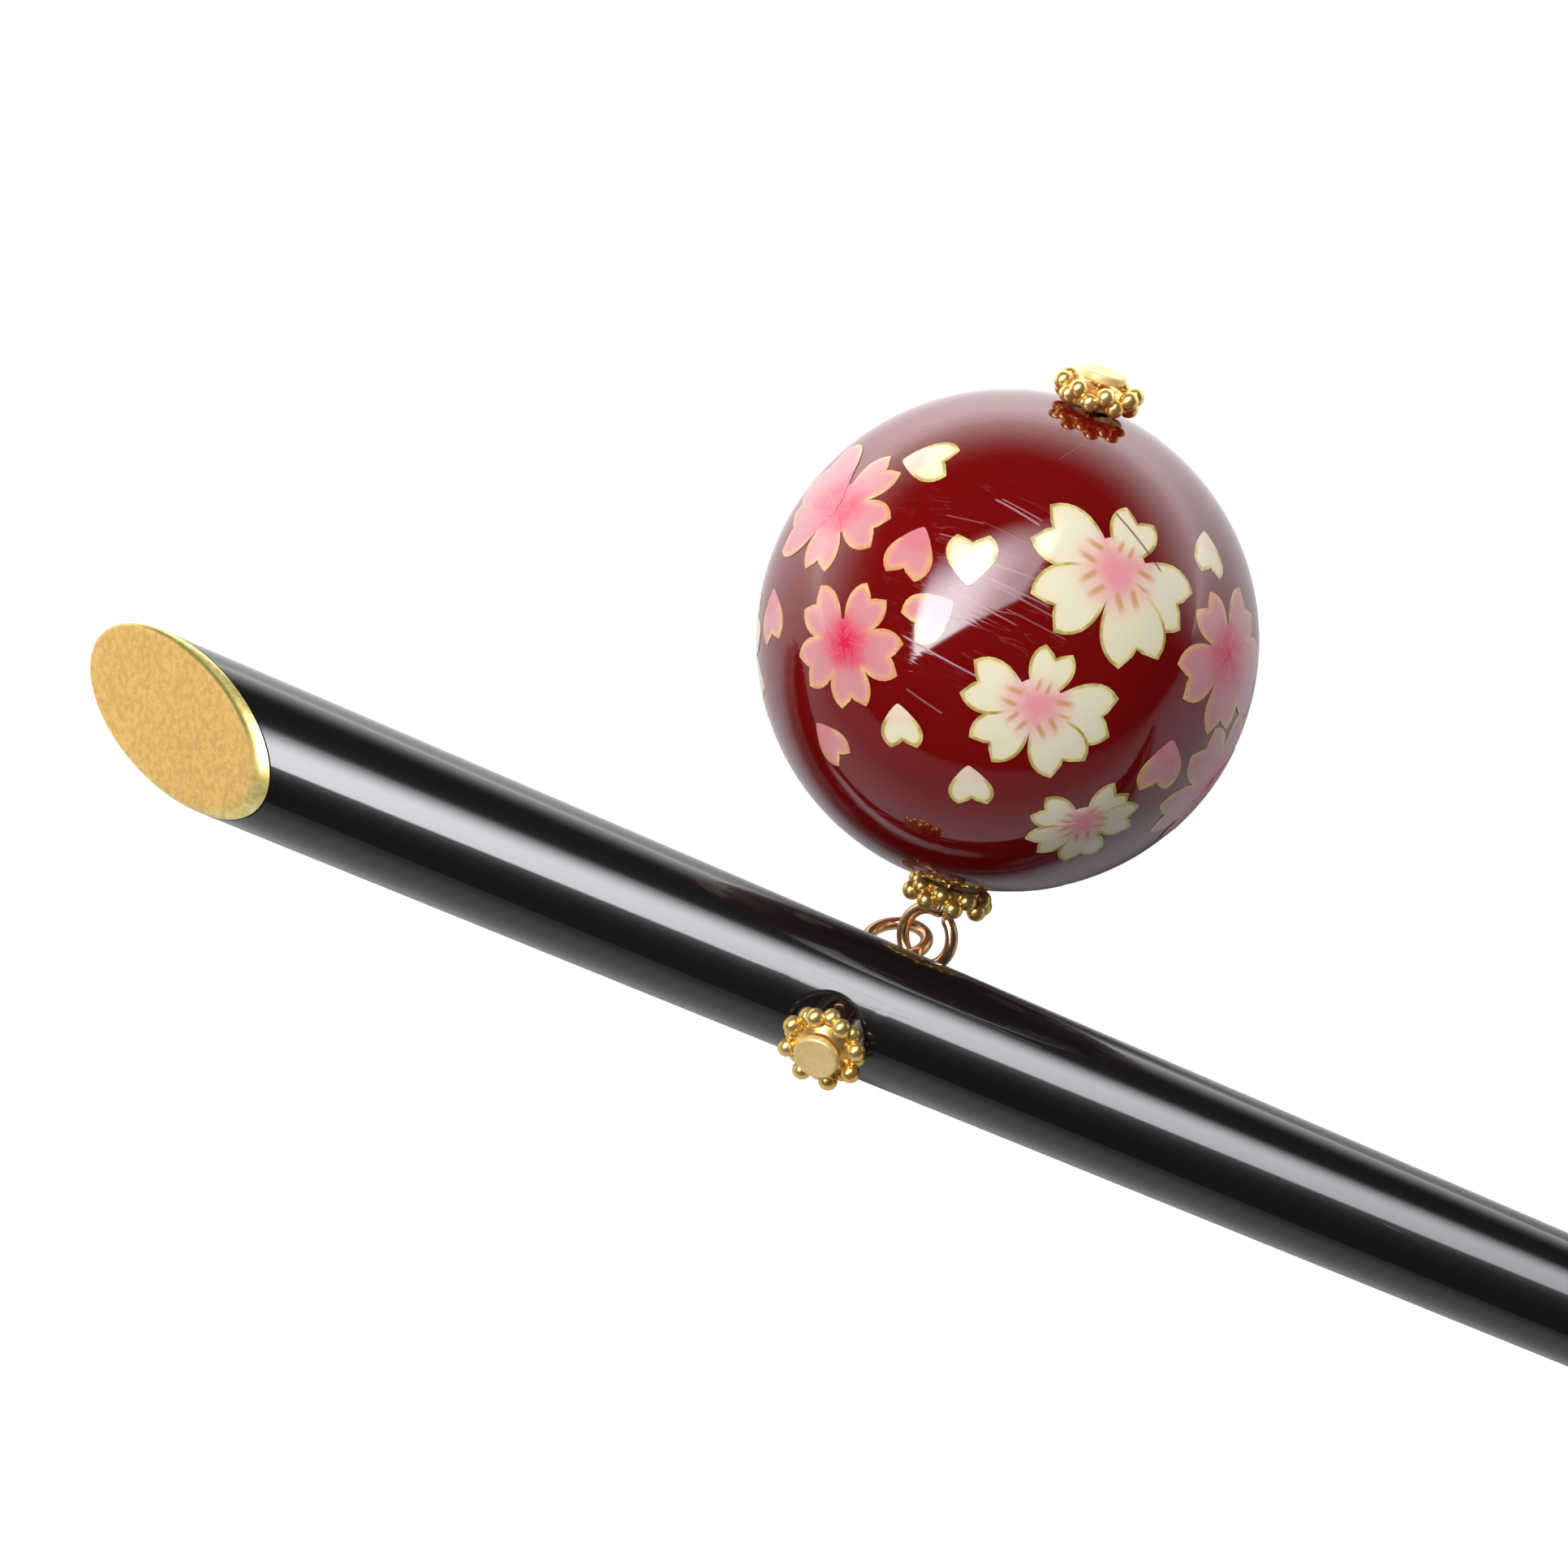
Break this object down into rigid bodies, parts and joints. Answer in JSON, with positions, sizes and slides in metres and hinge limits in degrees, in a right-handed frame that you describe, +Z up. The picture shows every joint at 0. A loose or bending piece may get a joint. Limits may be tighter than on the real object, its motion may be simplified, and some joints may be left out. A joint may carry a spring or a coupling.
{
  "type": "hair stick",
  "caption": "Tapered round hair stick with a slant-cut gilded head, and a printed ball bead linked by pin eyes to a cross hole.",
  "frame": {"origin": "bottom centre of the bounding box, on the surface that the stick and the ball lie on", "axes": "+X along the stick to its tip, +Y to the side where the ball lies, +Z up"},
  "size_m": [0.16, 0.0309, 0.022],
  "materials": {
    "black_lacquer": "high gloss black",
    "gold_leaf": "fine-grained matt gold",
    "gilt_metal": "bright gold plate, darkened in the recesses",
    "red_lacquer": "high gloss deep red with a print of cherry blossom",
    "pin_metal": "satin pale gold"
  },
  "bodies": {
    "root": {"stick": "black_lacquer", "gold_end_face": "gold_leaf", "front_flower_spacer": "gilt_metal", "stick_pin": "pin_metal", "bead": "red_lacquer", "bottom_flower_spacer": "gilt_metal", "top_flower_spacer": "gilt_metal", "bead_pin": "pin_metal"}
  },
  "joints": []
}
